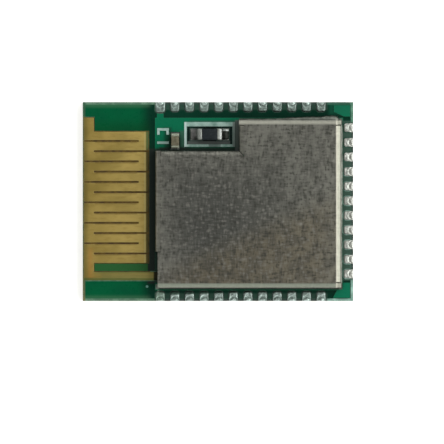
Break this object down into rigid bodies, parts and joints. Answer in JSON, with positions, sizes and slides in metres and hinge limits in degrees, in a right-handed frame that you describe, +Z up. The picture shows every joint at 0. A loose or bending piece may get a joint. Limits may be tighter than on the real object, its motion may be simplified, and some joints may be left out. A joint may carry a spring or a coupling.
{
  "type": "bluetooth module",
  "caption": "Thin circuit board with a bare meander antenna at one end, half-hole pads on the other sides and a stepped folded metal can over its radio parts.",
  "frame": {"origin": "middle of the board's underside, on the plane of its bottom pads", "axes": "+X along the board from the antenna end to the far end, +Y across it, +Z up out of the can"},
  "size_m": [0.0186, 0.0136, 0.0023],
  "materials": {
    "laminate": "cut glass-fibre laminate",
    "copper": "copper under the mask",
    "solder_mask": "green solder mask",
    "gilt": "gilt copper",
    "tin": "tinned metal",
    "can_sheet": "dull plated sheet",
    "dark_ceramic": "dark ceramic",
    "tan_ceramic": "tan ceramic",
    "print": "printed ink",
    "package": "moulded package",
    "lid_metal": "plated lid"
  },
  "bodies": {
    "root": {"laminate": "laminate", "top_copper": "copper", "top_mask": "solder_mask", "bottom_mask": "solder_mask", "antenna": "gilt", "north_pads": "tin", "east_pads": "tin", "south_pads": "tin", "component_lands": "tin", "shield_can": "can_sheet", "can_solder": "tin", "filter_body": "dark_ceramic", "filter_terminals": "tin", "filter_solder": "tin", "capacitor_body": "tan_ceramic", "capacitor_terminals": "tin", "legend": "print", "radio_chip": "package", "radio_leads": "tin", "crystal_base": "dark_ceramic", "crystal_lid": "lid_metal", "clock_base": "dark_ceramic", "clock_lid": "lid_metal", "decoupler_bodies": "tan_ceramic", "decoupler_terminals": "tin", "matching_bodies": "dark_ceramic", "matching_terminals": "tin", "inductor_body": "dark_ceramic", "inductor_terminals": "tin"}
  },
  "joints": []
}
